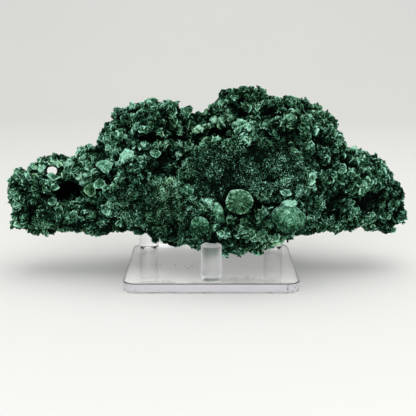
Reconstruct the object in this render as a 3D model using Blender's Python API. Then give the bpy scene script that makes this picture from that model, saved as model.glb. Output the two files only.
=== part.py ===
"""Malachite specimen resting on a clear three-peg display stand.

Metres, +Z up, +X to the right and +Y away from the viewer. The origin is the middle of the
base plate's underside. The stone is one piece: big masses that overlap, lumps that crowd their
surfaces, and the larger buttons and lobes, fused by a voxel remesh and then thinned.
"""

import math
import random

import bmesh
import bpy
from mathutils import Euler, Matrix, Vector

MM = 0.001
GAP = 0.3 * MM

# Display stand
PLATE_WIDTH = 63.5 * MM
PLATE_DEPTH = 50.8 * MM
PLATE_THICKNESS = 3.8 * MM
PLATE_CORNER_RADIUS = 4.5 * MM
PLATE_EDGE_ROUND = 1.0 * MM
CORNER_STEPS = 6
PEG_RADIUS = 3.7 * MM
PEG_HEIGHT = 12.7 * MM
PEG_EDGE_ROUND = 0.5 * MM
PEG_SIDES = 32
EDGE_STEPS = 3
PEG_PLACES = {
    "peg_front": (0.0 * MM, -20.5 * MM),
    "peg_back_left": (-25.4 * MM, 18.5 * MM),
    "peg_back_right": (25.4 * MM, 18.5 * MM),
}
PEG_FOOT = PLATE_THICKNESS + GAP
PEG_TOP = PEG_FOOT + PEG_HEIGHT

# Main masses of the stone: name, centre, radii and lean in degrees, where a lean above zero
# lifts the +X end. Centres and radii are in millimetres.
MASSES = (
    ("belly", (8, -6, 26.5), (25, 15, 15.5), 0),
    ("velvet_face", (13, -12, 40), (24, 7.5, 15.5), 8),
    ("right_shoulder", (35, 3, 39), (15, 13, 23.5), 0),
    ("right_arm", (51, 5, 31), (18, 11, 14.5), 18),
    ("right_tip", (65.5, 7, 24.5), (7, 7.5, 9), 0),
    ("crown_right", (13.5, 11, 55), (13, 9.5, 13), 0),
    ("crown_left", (-23, 9, 49.5), (14, 10.5, 13), 0),
    ("saddle", (-4, 12, 46), (14, 9.5, 12.5), 0),
    ("waist", (-26, -1, 32), (21, 13, 13), 0),
    ("back", (4, 14, 34), (30, 13, 15), 0),
    ("back_left", (-21, 12, 31), (16, 12.5, 13), 0),
    ("back_right", (23, 13, 31), (17, 12.5, 13.5), 0),
    ("upper_arm", (-50, 2, 39.5), (14, 5, 4.4), 16),
    ("lower_arm", (-50, 0, 23), (19, 8, 5.2), 0),
    ("left_end", (-68.5, 2, 27.5), (5.5, 7, 10.5), 0),
    ("pocket_back", (-53, 9, 31.5), (13, 3.5, 8.5), 0),
    ("crown_foot", (-34.5, 4, 47.5), (7.5, 8, 9), 0),
    ("keel", (-15, -4, 23), (16, 11, 7), -12),
    ("right_ridge", (26, 4, 56), (10, 8, 9.5), 0),
    ("ledge", (19, -9.5, 52.5), (18, 5.5, 5.5), 22),
)
MASS_DETAIL = 4

# Lumps that crowd the masses, in millimetres
LUMP_SPACING = 5.2
LUMP_RADII = (1.9, 3.6)
LUMP_FLATNESS = (0.5, 0.95)
LUMP_SINK = 0.35
LUMP_DETAIL = 2
BURIED_DEPTH = 0.9
SEED = 11

# Knobs, buttons and lobes with a place of their own: centre, radius and how thick it is along Y
# for its radius
KNOBS = (
    # Left end, from the top down
    ((-72.0, 2, 37.8), 2.0, 1.0),
    ((-74.6, 2, 34.8), 2.2, 1.0),
    ((-74.8, 2, 30.6), 2.4, 1.0),
    ((-73.2, 1, 25.4), 2.4, 1.0),
    ((-73.4, 2, 18.8), 2.6, 1.0),
    ((-67.2, 0, 18.2), 2.8, 1.0),
    ((-61.6, 0, 18.2), 3.0, 1.0),
    ((-66.5, -4, 36.4), 3.2, 0.7),
    ((-60.0, -3, 34.2), 3.0, 0.7),
    ((-62.2, -4, 28.6), 2.6, 0.8),
    # Arm above the dark pocket
    ((-65.6, 0, 39.8), 2.4, 1.0),
    ((-63.2, 0, 42.2), 2.1, 1.0),
    ((-60.2, 0, 43.2), 2.2, 1.0),
    ((-56.6, -1, 43.2), 3.0, 0.8),
    ((-45.8, 0, 45.6), 3.8, 0.9),
    ((-50.5, -3, 38.6), 3.0, 0.7),
    ((-47.5, -6, 33.6), 1.9, 0.8),
    ((-41.8, -9, 33.6), 3.4, 0.5),
    ((-38.4, -10, 39.6), 4.2, 0.5),
    ((-33.2, -12, 35.4), 2.6, 0.7),
    ((-30.4, -9, 43.6), 4.2, 0.5),
    # Arm below the pocket
    ((-55.5, -4, 24.8), 3.0, 0.8),
    ((-50.0, -2, 19.2), 2.4, 1.0),
    ((-42.4, -3, 18.8), 2.9, 1.0),
    ((-34.5, -4, 19.8), 2.4, 1.0),
    ((-26.0, -5, 19.8), 2.6, 1.0),
    ((-20.4, -6, 17.4), 2.8, 1.0),
    ((-13.6, -7, 15.4), 2.8, 1.0),
    # Crest
    ((-37.4, 5, 54.6), 2.6, 1.0),
    ((-33.8, 6, 59.6), 2.6, 1.0),
    ((-28.6, 8, 61.6), 2.6, 1.0),
    ((-22.4, 9, 62.6), 2.8, 1.0),
    ((-15.4, 9, 62.0), 3.0, 1.0),
    ((-9.4, 9, 58.6), 2.8, 1.0),
    ((1.4, 9, 60.6), 2.4, 1.0),
    ((6.2, 8, 66.6), 3.0, 1.0),
    ((12.0, 8, 67.6), 2.8, 1.0),
    ((17.6, 8, 66.8), 2.8, 1.0),
    ((22.6, 7, 63.4), 2.8, 1.0),
    ((28.4, 2, 63.2), 2.9, 1.0),
    ((33.0, 1, 63.4), 2.9, 1.0),
    # Ledge over the velvet face
    ((-1.0, -14, 51.0), 2.4, 0.8),
    ((10.4, -13, 54.6), 4.4, 0.7),
    ((18.8, -4, 60.2), 2.6, 0.4),
    ((21.0, -11, 57.6), 3.0, 0.8),
    ((29.0, -9, 60.0), 3.2, 0.8),
    # Buttons and lobes low on the front
    ((9.8, -22.4, 33.4), 4.8, 0.5),
    ((17.6, -20.5, 36.6), 3.6, 0.6),
    ((2.2, -21.5, 29.6), 2.6, 0.6),
    ((-4.0, -21, 25.4), 3.6, 0.5),
    ((4.0, -20.8, 22.2), 2.4, 0.6),
    ((14.5, -21, 25.6), 4.4, 0.5),
    ((26.8, -17.8, 32.2), 3.8, 0.6),
    ((26.6, -16.8, 24.8), 6.0, 0.5),
    # Feet on the three pegs
    ((0.5, -17.5, 20.8), 4.4, 1.0),
    ((-25.0, 17.5, 21.4), 5.0, 1.0),
    ((25.0, 17.5, 21.4), 5.0, 1.0),
    # Right end
    ((70.4, 8, 29.4), 4.2, 0.8),
    ((71.8, 7, 21.8), 4.0, 0.8),
    ((68.0, 5, 16.8), 2.6, 1.0),
)

# A small window right through the left arm, from in front to behind, in millimetres
WINDOW_ENDS = ((-56.5, -15, 42.5), (-62.7, 15, 36.6))
WINDOW_RADIUS = 1.5

# A hollow in the front of the left arm that doesn't go through, in millimetres
POCKET_CENTRE = (-53, -4, 31.5)
POCKET_RADII = (5.2, 8.5, 4.4)

CUTTER_SIDES = 16

# Grid of the remesh that fuses the stone, and the share of its faces that is kept
VOXEL = 0.9 * MM
KEPT_SHARE = 0.095

# Colours, in linear red, green and blue
MALACHITE_GREEN = (0.03, 0.12, 0.08)
CLEAR = (0.96, 0.97, 0.97)
ACRYLIC_IOR = 1.49


def clear_scene():
    """Take everything out of the open scene."""
    for obj in list(bpy.data.objects):
        bpy.data.objects.remove(obj, do_unlink=True)


def principled(name, colour, roughness, transmission=0.0, ior=1.5):
    """One Principled BSDF material."""
    material = bpy.data.materials.new(name)
    material.use_nodes = True
    shader = material.node_tree.nodes["Principled BSDF"]
    shader.inputs["Base Color"].default_value = (*colour, 1.0)
    shader.inputs["Roughness"].default_value = roughness
    shader.inputs["Metallic"].default_value = 0.0
    shader.inputs["Transmission Weight"].default_value = transmission
    shader.inputs["IOR"].default_value = ior
    return material


def object_from(name, mesh_builder, material):
    """A new object whose mesh is what the bmesh holds."""
    mesh = bpy.data.meshes.new(name)
    mesh_builder.to_mesh(mesh)
    mesh_builder.free()
    obj = bpy.data.objects.new(name, mesh)
    bpy.context.scene.collection.objects.link(obj)
    if material:
        obj.data.materials.append(material)
    return obj


def rounded_rectangle(width, depth, radius, steps):
    """Points of a rectangle with round corners, anticlockwise round the origin."""
    points = []
    corners = ((1, 1, 0), (-1, 1, 90), (-1, -1, 180), (1, -1, 270))
    for side_x, side_y, start in corners:
        centre = Vector((side_x * (width / 2 - radius), side_y * (depth / 2 - radius)))
        for step in range(steps + 1):
            angle = math.radians(start + 90 * step / steps)
            points.append(centre + radius * Vector((math.cos(angle), math.sin(angle))))
    return points


def base_plate(material):
    """The plate: a round-cornered slab whose top edge is rounded over."""
    bm = bmesh.new()
    outline = rounded_rectangle(PLATE_WIDTH, PLATE_DEPTH, PLATE_CORNER_RADIUS, CORNER_STEPS)
    face = bm.faces.new([bm.verts.new((p.x, p.y, 0)) for p in outline])
    grown = bmesh.ops.extrude_face_region(bm, geom=[face])
    top = [v for v in grown["geom"] if isinstance(v, bmesh.types.BMVert)]
    bmesh.ops.translate(bm, verts=top, vec=(0, 0, PLATE_THICKNESS))
    bmesh.ops.recalc_face_normals(bm, faces=bm.faces)
    rim = [e for e in bm.edges if all(v.co.z > PLATE_THICKNESS / 2 for v in e.verts)]
    bmesh.ops.bevel(
        bm, geom=rim, offset=PLATE_EDGE_ROUND, segments=EDGE_STEPS, profile=0.5, affect="EDGES"
    )
    return object_from("base_plate", bm, material)


def add_rod(bm, sides, radius, length, matrix):
    """A capped round rod along the matrix's own Z, its middle at the matrix's place."""
    bmesh.ops.create_cone(
        bm,
        cap_ends=True,
        segments=sides,
        radius1=radius,
        radius2=radius,
        depth=length,
        matrix=matrix,
    )


def peg(name, place, material):
    """A round rod stood on end on the plate, its top rim rounded over."""
    bm = bmesh.new()
    add_rod(bm, PEG_SIDES, PEG_RADIUS, PEG_HEIGHT, Matrix())
    rim = [e for e in bm.edges if all(v.co.z > 0 for v in e.verts)]
    bmesh.ops.bevel(
        bm, geom=rim, offset=PEG_EDGE_ROUND, segments=EDGE_STEPS, profile=0.5, affect="EDGES"
    )
    rod = object_from(name, bm, material)
    rod.location = (*place, PEG_FOOT + PEG_HEIGHT / 2)
    return rod


def mass_matrix(centre, radii, lean):
    """Takes a ball of radius 1 to the place, size and lean of one mass."""
    turned = Euler((0, -math.radians(lean), 0)).to_matrix().to_4x4()
    size = Matrix.Diagonal((*[radius * MM for radius in radii], 1))
    return Matrix.Translation(Vector(centre) * MM) @ turned @ size


def ellipsoid_area(radii):
    """Surface area by Thomsen's formula, good to about 1%."""
    power = 1.6075
    a, b, c = (r**power for r in radii)
    return 4 * math.pi * ((a * b + a * c + b * c) / 3) ** (1 / power)


def spiral_directions(count):
    """Directions spread evenly over a ball, along a golden spiral."""
    turn = math.pi * (3 - math.sqrt(5))
    for index in range(count):
        height = 1 - 2 * (index + 0.5) / count
        reach = math.sqrt(1 - height * height)
        yield Vector((reach * math.cos(turn * index), reach * math.sin(turn * index), height))


class Pile:
    """Closed balls gathered into one mesh, which a remesh then fuses."""

    def __init__(self):
        self.points = []
        self.faces = []
        self.balls = {}

    def unit_ball(self, detail):
        """Points and faces of an icosphere of radius 1."""
        if detail not in self.balls:
            bm = bmesh.new()
            bmesh.ops.create_icosphere(bm, subdivisions=detail, radius=1)
            points = [vertex.co.copy() for vertex in bm.verts]
            faces = [[vertex.index for vertex in face.verts] for face in bm.faces]
            bm.free()
            self.balls[detail] = points, faces
        return self.balls[detail]

    def add(self, matrix, detail):
        points, faces = self.unit_ball(detail)
        start = len(self.points)
        self.points.extend(matrix @ point for point in points)
        self.faces.extend([start + corner for corner in face] for face in faces)


def add_lumps(pile, dice):
    """Lumps over every mass, apart from the places that lie deep inside another mass."""
    matrices = [mass_matrix(*mass[1:]) for mass in MASSES]
    inverses = [matrix.inverted() for matrix in matrices]
    for index, (_, _, radii, _) in enumerate(MASSES):
        others = inverses[:index] + inverses[index + 1 :]
        for direction in spiral_directions(round(ellipsoid_area(radii) / LUMP_SPACING**2)):
            place = matrices[index] @ direction
            if any((other @ place).length < BURIED_DEPTH for other in others):
                continue
            radius = dice.uniform(*LUMP_RADII) * MM
            outwards = (place - matrices[index].translation).normalized()
            turned = Euler([dice.uniform(0, math.tau) for _ in range(3)]).to_matrix().to_4x4()
            size = Matrix.Diagonal((radius, radius, radius * dice.uniform(*LUMP_FLATNESS), 1))
            centre = place - outwards * radius * LUMP_SINK
            pile.add(Matrix.Translation(centre) @ turned @ size, LUMP_DETAIL)


def add_knobs(pile):
    for centre, radius, thickness in KNOBS:
        size = Matrix.Diagonal((radius * MM, radius * thickness * MM, radius * MM, 1))
        pile.add(Matrix.Translation(Vector(centre) * MM) @ size, LUMP_DETAIL + 1)


def rod(radius, length, matrix):
    """A round rod that is only used to cut with."""
    bm = bmesh.new()
    add_rod(bm, CUTTER_SIDES, radius, length, matrix)
    return bm


def cut(obj, name, mesh_builder):
    """Take a shape, which isn't part of the object, out of the solid."""
    tool = object_from(name, mesh_builder, None)
    tool.hide_render = True
    tool.display_type = "WIRE"
    modifier = obj.modifiers.new(name, "BOOLEAN")
    modifier.operation = "DIFFERENCE"
    modifier.solver = "EXACT"
    modifier.object = tool


def remesh(obj, name):
    modifier = obj.modifiers.new(name, "REMESH")
    modifier.mode = "VOXEL"
    modifier.voxel_size = VOXEL


def stone(material):
    """The malachite: every mass, lump and knob fused in one solid that sits on the pegs."""
    pile = Pile()
    for mass in MASSES:
        pile.add(mass_matrix(*mass[1:]), MASS_DETAIL)
    add_lumps(pile, random.Random(SEED))
    add_knobs(pile)
    mesh = bpy.data.meshes.new("malachite")
    mesh.from_pydata(pile.points, [], pile.faces)
    mesh.materials.append(material)
    body = bpy.data.objects.new("malachite", mesh)
    bpy.context.scene.collection.objects.link(body)
    remesh(body, "fuse")
    front, back = (Vector(end) * MM for end in WINDOW_ENDS)
    along = (back - front).to_track_quat("Z", "Y").to_matrix().to_4x4()
    place = Matrix.Translation((front + back) / 2) @ along
    cut(body, "window", rod(WINDOW_RADIUS * MM, (back - front).length, place))
    hollow = bmesh.new()
    place = mass_matrix(POCKET_CENTRE, POCKET_RADII, 0)
    bmesh.ops.create_icosphere(hollow, subdivisions=LUMP_DETAIL, radius=1, matrix=place)
    cut(body, "pocket", hollow)
    remesh(body, "even_out")
    thin = body.modifiers.new("thin", "DECIMATE")
    thin.ratio = KEPT_SHARE
    for name, (x, y) in PEG_PLACES.items():
        length = PEG_TOP + GAP
        place = Matrix.Translation((x, y, length / 2))
        cut(body, "seat_for_" + name, rod(PEG_RADIUS + GAP, length, place))
    return body


def main():
    clear_scene()
    stone(principled("malachite", MALACHITE_GREEN, roughness=0.75))
    acrylic = principled("clear_acrylic", CLEAR, 0.03, transmission=1.0, ior=ACRYLIC_IOR)
    base_plate(acrylic)
    for name, place in PEG_PLACES.items():
        peg(name, place, acrylic)


main()
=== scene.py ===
"""Malachite specimen on a clear three-peg stand: its looks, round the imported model.

Laid out as a Blender add-on and run as a script. Everything is in metres, +Z up, with +X to the
viewer's right and the origin in the middle of the base plate's underside. A whole number that
ends a call of soft_noise, ridges or domes is the seed of that noise.
"""

import collections
import functools
import itertools
import math

import bmesh
import bpy
import numpy as np
from bpy.props import FloatProperty, FloatVectorProperty, PointerProperty
from mathutils import Euler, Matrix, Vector
from mathutils.bvhtree import BVHTree


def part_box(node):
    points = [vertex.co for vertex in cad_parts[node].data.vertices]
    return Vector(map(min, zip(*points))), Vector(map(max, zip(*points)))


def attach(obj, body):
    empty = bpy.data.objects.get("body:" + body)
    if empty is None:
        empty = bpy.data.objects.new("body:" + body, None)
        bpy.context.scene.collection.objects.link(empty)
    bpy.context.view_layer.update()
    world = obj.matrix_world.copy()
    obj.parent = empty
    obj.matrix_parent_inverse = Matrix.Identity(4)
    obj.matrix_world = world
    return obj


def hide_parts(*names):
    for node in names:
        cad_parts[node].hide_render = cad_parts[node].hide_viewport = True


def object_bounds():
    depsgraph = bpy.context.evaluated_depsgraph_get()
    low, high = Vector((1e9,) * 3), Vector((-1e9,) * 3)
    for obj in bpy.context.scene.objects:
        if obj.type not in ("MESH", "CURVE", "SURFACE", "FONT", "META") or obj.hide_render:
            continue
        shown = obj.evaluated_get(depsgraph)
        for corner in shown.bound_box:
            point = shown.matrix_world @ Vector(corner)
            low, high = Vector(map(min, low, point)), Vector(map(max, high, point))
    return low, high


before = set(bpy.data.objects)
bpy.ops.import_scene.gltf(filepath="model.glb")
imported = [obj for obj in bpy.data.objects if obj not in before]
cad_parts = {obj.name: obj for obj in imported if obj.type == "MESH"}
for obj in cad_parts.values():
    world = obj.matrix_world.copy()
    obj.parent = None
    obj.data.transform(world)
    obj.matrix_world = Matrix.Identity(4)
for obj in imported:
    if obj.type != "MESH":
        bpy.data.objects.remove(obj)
CAD_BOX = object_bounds()

bl_info = {
    "name": "Malachite Specimen",
    "version": (1, 0, 0),
    "blender": (4, 5, 0),
    "location": "3D View > Sidebar > Specimen",
    "description": "Dresses a malachite specimen and its clear stand",
    "category": "Object",
}

MM = 0.001
BODY = "root"
PEGS = ("peg_front", "peg_back_left", "peg_back_right")

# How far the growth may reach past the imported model's box, along X, Y and Z
PAST_BOX = np.array((2.0, 1.1, 1.4)) * MM

# The camera, fitted to the stand. A picture coordinate in this file is in its square view.
VIEW_PIXELS = 416
FOCAL_PIXELS = 780
SENSOR_MM = 36
CAMERA_PLACE = (-1.19 * MM, -287.7 * MM, 95.93 * MM)
CAMERA_PITCH = math.radians(13.8)
UP = (0, 0, 1)

# A sheet of air between the plate and the paper
FLOOR_GAP = 0.1 * MM

# Grid of solid cells that tells how deep a place lies between its neighbours, for the shade painted
# into the gaps, and the two widths, in cells, that it is blurred by
CELL = 1.0 * MM
GRID_MARGIN = 12 * MM
NEAR_BLUR = 1.6
FAR_BLUR = 4.5

# The window through the left arm: the ends of its middle line, the distances from that line over
# which its rim is cut back, and by how much
WINDOW_ENDS = np.array(((-56.5, -15, 42.5), (-62.7, 15, 36.6))) * MM
WINDOW_RIM = (1.6 * MM, 3.2 * MM)
WINDOW_WIDENED = 0.7 * MM

# Growth starts at the first and is free at the second distance from the window's line, and from a
# peg's middle, but for what is higher than the pegs
WINDOW_CLEAR = (2.0 * MM, 3.4 * MM)
PEG_CLEAR = (4.6 * MM, 6.0 * MM)
PEG_CLEAR_TOP = (18.4 * MM, 20.4 * MM)

# The even pile of fine fibres on the front: middle, reach and strength of each patch of it
VELVET = (
    ((13, -19, 42), (24, 12, 12), 1.0),
    ((-20, -14, 30), (18, 14, 9), 0.55),
)

# Gaps between the masses, pushed back and darkened by painted shade, by picture coordinate: middle,
# half width and height, depth
CAVES = (
    ((221, 132), (12, 5.5), 5.0 * MM),
    ((271, 114), (13, 3.5), 3.5 * MM),
    ((271, 180), (10, 2.5), 2.5 * MM),
    ((266, 205), (13, 3), 2.5 * MM),
    ((151, 138), (12, 4.5), 3.0 * MM),
    ((178, 138), (10, 4), 2.5 * MM),
    ((103, 181), (12, 3), 3.0 * MM),
    ((63, 192.5), (8.5, 10.5), 6.0 * MM),
    ((71.5, 187), (11, 6), 6.0 * MM),
    ((163, 158), (8, 6), 1.5 * MM),
    ((33, 203), (9, 8), 0.8 * MM),
    ((214, 238), (5, 6), 1.5 * MM),
)

# Raised crests, by picture coordinate: width, height and change of tone, and the line they follow
CRESTS = (
    (
        (1.1 * MM, 1.5 * MM, 0.32),
        ((226, 148), (232, 142), (236, 134), (242, 128), (250, 126), (258, 128), (266, 127)),
    ),
    ((1.0 * MM, 1.8 * MM, 0.40), ((266, 127), (274, 124), (282, 121), (290, 118), (298, 115))),
    ((0.7 * MM, 1.2 * MM, 0.40), ((254, 119), (254, 112), (260, 108.5), (266, 110))),
    (
        (0.8 * MM, 1.1 * MM, 0.36),
        ((235, 132), (241, 127), (249, 129), (253, 137), (251, 146), (244, 150), (237, 146)),
    ),
    ((0.7 * MM, 0.7 * MM, 0.30), ((237, 146), (234, 139), (235, 132), (243, 134), (251, 136))),
    ((0.8 * MM, 0.9 * MM, 0.40), ((209, 114), (212, 121))),
    ((0.8 * MM, 1.0 * MM, 0.45), ((215, 118), (218, 127))),
    ((0.8 * MM, 0.9 * MM, 0.40), ((222, 116), (223, 125))),
    ((0.8 * MM, 0.9 * MM, 0.35), ((228, 119), (233, 125))),
    ((0.8 * MM, 0.7 * MM, 0.18), ((213, 140), (209, 152), (206, 164))),
    ((0.8 * MM, 0.6 * MM, 0.16), ((218, 145), (216, 156), (214, 166))),
    ((1.0 * MM, 1.0 * MM, 0.26), ((188, 216), (196, 209), (205, 203), (214, 197), (223, 191))),
    ((0.9 * MM, 0.8 * MM, 0.22), ((223, 191), (233, 187), (243, 185), (251, 188))),
    (
        (1.0 * MM, 1.1 * MM, 0.28),
        ((252, 191), (258, 187), (266, 185), (274, 184), (282, 183), (291, 180), (299, 178)),
    ),
    ((0.7 * MM, 0.8 * MM, 0.32), ((277, 231), (284, 231), (291, 229), (297, 225))),
    ((0.8 * MM, 0.8 * MM, 0.18), ((217, 229), (221, 237), (229, 240), (237, 243))),
    ((0.8 * MM, 1.0 * MM, 0.28), ((92, 174), (100, 177), (108, 176), (114, 171))),
    ((1.1 * MM, 1.1 * MM, 0.26), ((41, 177), (46, 184), (48, 192), (51, 200))),
    ((0.9 * MM, 0.8 * MM, 0.22), ((57, 206), (66, 203), (75, 196), (81, 189))),
    ((0.8 * MM, 0.7 * MM, 0.20), ((145, 146), (152, 149), (158, 154))),
)

# Crumbs of the stone on the plate: their usual radius, and by picture coordinate the middle, reach
# and number of each group
CRUMB_SIZE = 0.20 * MM
CRUMBS = (
    ((187, 266), (14, 4), 22),
    ((246, 267), (4, 3), 5),
    ((160, 262), (9, 6), 6),
    ((226, 262), (8, 5), 4),
)

# Places that are paler (above 0) or deeper (below 0) than the rest, partly the stone's own patches
# and partly painted light and shade: picture coordinate, reach in millimetres and change of tone
SHADES = (
    ((12, 195), 5, -0.16),
    ((40, 175), 5, 0.32),
    ((66, 192), 20, 0.07),
    ((42, 191), 4, -0.20),
    ((40, 203), 8, -0.10),
    ((61, 172), 4, 0.06),
    ((67, 205), 4, 0.34),
    ((87, 163), 4, 0.20),
    ((88, 205), 7, 0.20),
    ((107, 216), 4, -0.28),
    ((124, 216), 4, 0.18),
    ((96, 231), 4, 0.16),
    ((115, 132), 5, 0.20),
    ((110, 148), 4, 0.26),
    ((123, 162), 5, 0.34),
    ((124, 147), 4, -0.16),
    ((118, 121), 5, -0.20),
    ((138, 134), 4, -0.24),
    ((136, 205), 6, 0.18),
    ((134, 180), 7, -0.26),
    ((152, 147), 4, 0.16),
    ((168, 162), 6, -0.26),
    ((166, 176), 4, -0.18),
    ((166, 189), 4, 0.40),
    ((150, 212), 11, -0.18),
    ((165, 129), 5, -0.28),
    ((193, 122), 4, -0.18),
    ((181, 146), 5, 0.38),
    ((180, 178), 5, 0.26),
    ((192, 186), 6, -0.20),
    ((188, 231), 5, 0.14),
    ((204, 240), 5, 0.10),
    ((208, 114), 4, -0.14),
    ((221, 120), 4, 0.46),
    ((236, 135), 4, 0.34),
    ((247, 117), 3, -0.16),
    ((246, 154), 6, -0.20),
    ((266, 104), 6, -0.22),
    ((290, 119), 5, 0.10),
    ((289, 147), 5, -0.10),
    ((228, 189), 5, -0.24),
    ((249, 189), 4, 0.26),
    ((280, 186), 5, 0.26),
    ((282, 172), 5, 0.16),
    ((207, 216), 5, 0.20),
    ((262, 214), 16, 0.08),
    ((261, 218), 6, 0.10),
    ((272, 231), 5, 0.28),
    ((226, 232), 4, -0.08),
    ((240, 243), 5, -0.26),
)

# The crust's relief: how far its noise is warped, the widths of its curling crests, the heights
# of its parts, and how deep it lies round a grown form
WARP = 1.1 * MM
CURL_WIDTH = 1.9 * MM
FINE_WIDTH = 1.05 * MM
KNOLL_HEIGHT = 1.3 * MM
SMALL_HEIGHT = 0.7 * MM
CURL_HEIGHT = 0.9 * MM
FINE_HEIGHT = 0.30 * MM
FORM_GAP = 1.1 * MM

# What a place adds to the tone, all painted light and shade: paler when it is open and deeper in a
# gap, paler when it faces up and deeper when it faces down, deeper for each metre of a cave's depth,
# and deeper close beside a grown form
OPEN_SHADE_TONE = 0.50
UPWARD_LIGHT_TONE = 0.10
CAVE_SHADE_TONE = -0.30 / MM
BESIDE_FORM_SHADE_TONE = -0.35

# Soft lights: place, size, colour, and power as a share of the key light's setting
LIGHTS = {
    "key": ((0.10, -0.03, 0.62), (0.72, 0.72), (1, 1, 0.98), 1.06),
    "fill": ((-0.12, -0.70, 0.20), (0.6, 0.4), (0.96, 0.98, 1), 1.2),
}
LIT_POINT = (0, 0, 0.03)
SKY_COLOUR = (1.0, 1.0, 0.985, 1)


def size_setting(name, description, default, **limits):
    """A length that the user may change."""
    return FloatProperty(
        name=name,
        description=description,
        default=default,
        subtype="DISTANCE",
        unit="LENGTH",
        **limits,
    )


def colour_setting(name, description, default):
    """A colour that the user may change."""
    return FloatVectorProperty(
        name=name, description=description, default=default, subtype="COLOR", min=0, max=1
    )


class StoneSettings(bpy.types.PropertyGroup):
    """Sizes and colours of the malachite."""

    crust_grid: size_setting("Crust Grid", "Spacing of the crust's points", 0.58 * MM, min=0.3 * MM)
    knoll_size: size_setting("Knoll Size", "Usual width of the groups of lumps", 8.5 * MM)
    lump_size: size_setting("Lump Size", "Usual width of the crust's lumps", 4.6 * MM)
    lump_height: size_setting(
        "Lump Height", "How far a lump's top stands over the gap beside it", 2.5 * MM
    )
    petal_size: size_setting("Petal Size", "Usual radius of a crystal petal", 0.98 * MM)
    # The greens are stops along a tone that holds painted shade in the gaps and on the shaded sides
    # and painted light on the open faces; the mint of the rims is partly the crystals' own frosted
    # paleness and partly painted highlight
    deepest: colour_setting(
        "Deepest Green", "Colour at the bottom of the gaps", (0.0006, 0.0020, 0.0012)
    )
    deep: colour_setting("Deep Green", "Colour of the shaded sides", (0.005, 0.025, 0.012))
    middle: colour_setting("Middle Green", "Colour of most of the stone", (0.028, 0.105, 0.053))
    pale: colour_setting("Pale Green", "Colour of the open faces", (0.105, 0.305, 0.18))
    mint: colour_setting("Mint", "Colour of the frosted rims", (0.37, 0.70, 0.55))


class StandSettings(bpy.types.PropertyGroup):
    """Finish of the clear stand."""

    corner: size_setting("Plate Corner", "Corner radius of the base plate", 4.5 * MM)
    tint: colour_setting("Tint", "Colour of the clear plastic", (0.998, 0.998, 1.0))
    # The lilac of the upright sides is a painted edge highlight
    edge_tint: colour_setting(
        "Edge Tint", "Colour of the base plate's upright sides", (0.90, 0.885, 0.96)
    )


class StageSettings(bpy.types.PropertyGroup):
    """Floor and light, which aren't part of the object."""

    floor: colour_setting("Floor", "Colour of the floor and wall", (0.80, 0.80, 0.785))
    key_power: FloatProperty(
        name="Key Light",
        description="Power of the main soft light, in watts",
        default=2.2,
        min=0,
        unit="POWER",
    )
    sky: FloatProperty(
        name="Room Light",
        description="Strength of the light from all round",
        default=0.67,
        min=0,
    )


def unit(vectors):
    """Vectors scaled to length 1."""
    return vectors / np.maximum(np.linalg.norm(vectors, axis=-1, keepdims=True), 1e-12)


def smooth_step(low, high, values):
    """0 below low, 1 above high, and a smooth rise between."""
    share = np.clip((values - low) / (high - low), 0, 1)
    return share * share * (3 - 2 * share)


def scrambled(cells, seed):
    """Three random numbers from 0 to 1 for each whole-number cell, mixed by products and shifts."""
    x, y, z = np.moveaxis((cells & 0xFFFFFFFF).astype(np.uint32), -1, 0)
    mixed = x * np.uint32(73856093) ^ y * np.uint32(19349663) ^ z * np.uint32(83492791)
    mixed ^= np.uint32(seed * 7919 + 1)
    found = []
    for _ in range(3):
        mixed = (mixed ^ (mixed >> np.uint32(15))) * np.uint32(2246822519)
        mixed = (mixed ^ (mixed >> np.uint32(13))) * np.uint32(3266489917)
        mixed ^= mixed >> np.uint32(16)
        found.append(mixed / 2**32)
    return np.stack(found, -1)


def soft_noise(points, size, seed):
    """Smooth noise from -1 to 1: random values at a grid's corners, blended across each cell."""
    scaled = points / size
    home = np.floor(scaled).astype(np.int64)
    share = scaled - home
    share = share * share * (3 - 2 * share)
    total = 0
    for corner in itertools.product((0, 1), repeat=3):
        weight = np.prod(np.where(corner, share, 1 - share), axis=-1)
        total = total + weight * scrambled(home + np.array(corner), seed)[..., 0]
    return 2 * total - 1


def ridges(points, size, seed):
    """Curling crests of height 1: where smooth noise crosses 0, falling off on both sides."""
    warp = np.stack([soft_noise(points, 1.7 * size, seed + n) for n in (1, 2, 3)], -1)
    crossing = np.abs(soft_noise(points + 0.7 * size * warp, size, seed))
    return np.clip(1 - crossing / 0.42, 0, 1) ** 1.3


def domes(points, size, seed):
    """Crowded domes: height of the dome round the nearest of the scattered seeds, one in each cell
    of a grid, as the root of 1 less the squared distance, and the width of the gap to the next.
    The third value is random and belongs to the dome."""
    scaled = points / size
    home = np.floor(scaled).astype(np.int64)
    first = np.full(len(points), np.inf)
    second = first.copy()
    label = np.zeros(len(points))
    for offset in itertools.product((-1, 0, 1), repeat=3):
        cell = home + np.array(offset)
        place = scrambled(cell, seed)
        away = np.linalg.norm(cell + place - scaled, axis=1)
        closer = away < first
        second = np.where(closer, first, np.minimum(second, away))
        label = np.where(closer, (place.sum(1) * 7.31) % 1, label)
        first = np.minimum(first, away)
    return np.sqrt(np.clip(1 - (first / 0.9) ** 2, 0, 1)), second - first, label


def to_line(points, ends):
    """Distance of each point from the straight line through both ends."""
    along = unit(ends[1] - ends[0])
    reach = points - ends[0]
    return np.linalg.norm(reach - (reach @ along)[:, None] * along, axis=1)


def free_room(points):
    """1 where the stone may grow outwards, falling to 0 at the window and at the pegs' tops."""
    room = smooth_step(*WINDOW_CLEAR, to_line(points, WINDOW_ENDS))
    for name in PEGS:
        low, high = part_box(name)
        middle = np.array((low + high) / 2)
        away = np.linalg.norm((points - middle)[:, :2], axis=1)
        near_top = 1 - smooth_step(*PEG_CLEAR_TOP, points[:, 2])
        room = room * (1 - near_top * (1 - smooth_step(*PEG_CLEAR, away)))
    return room


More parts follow.
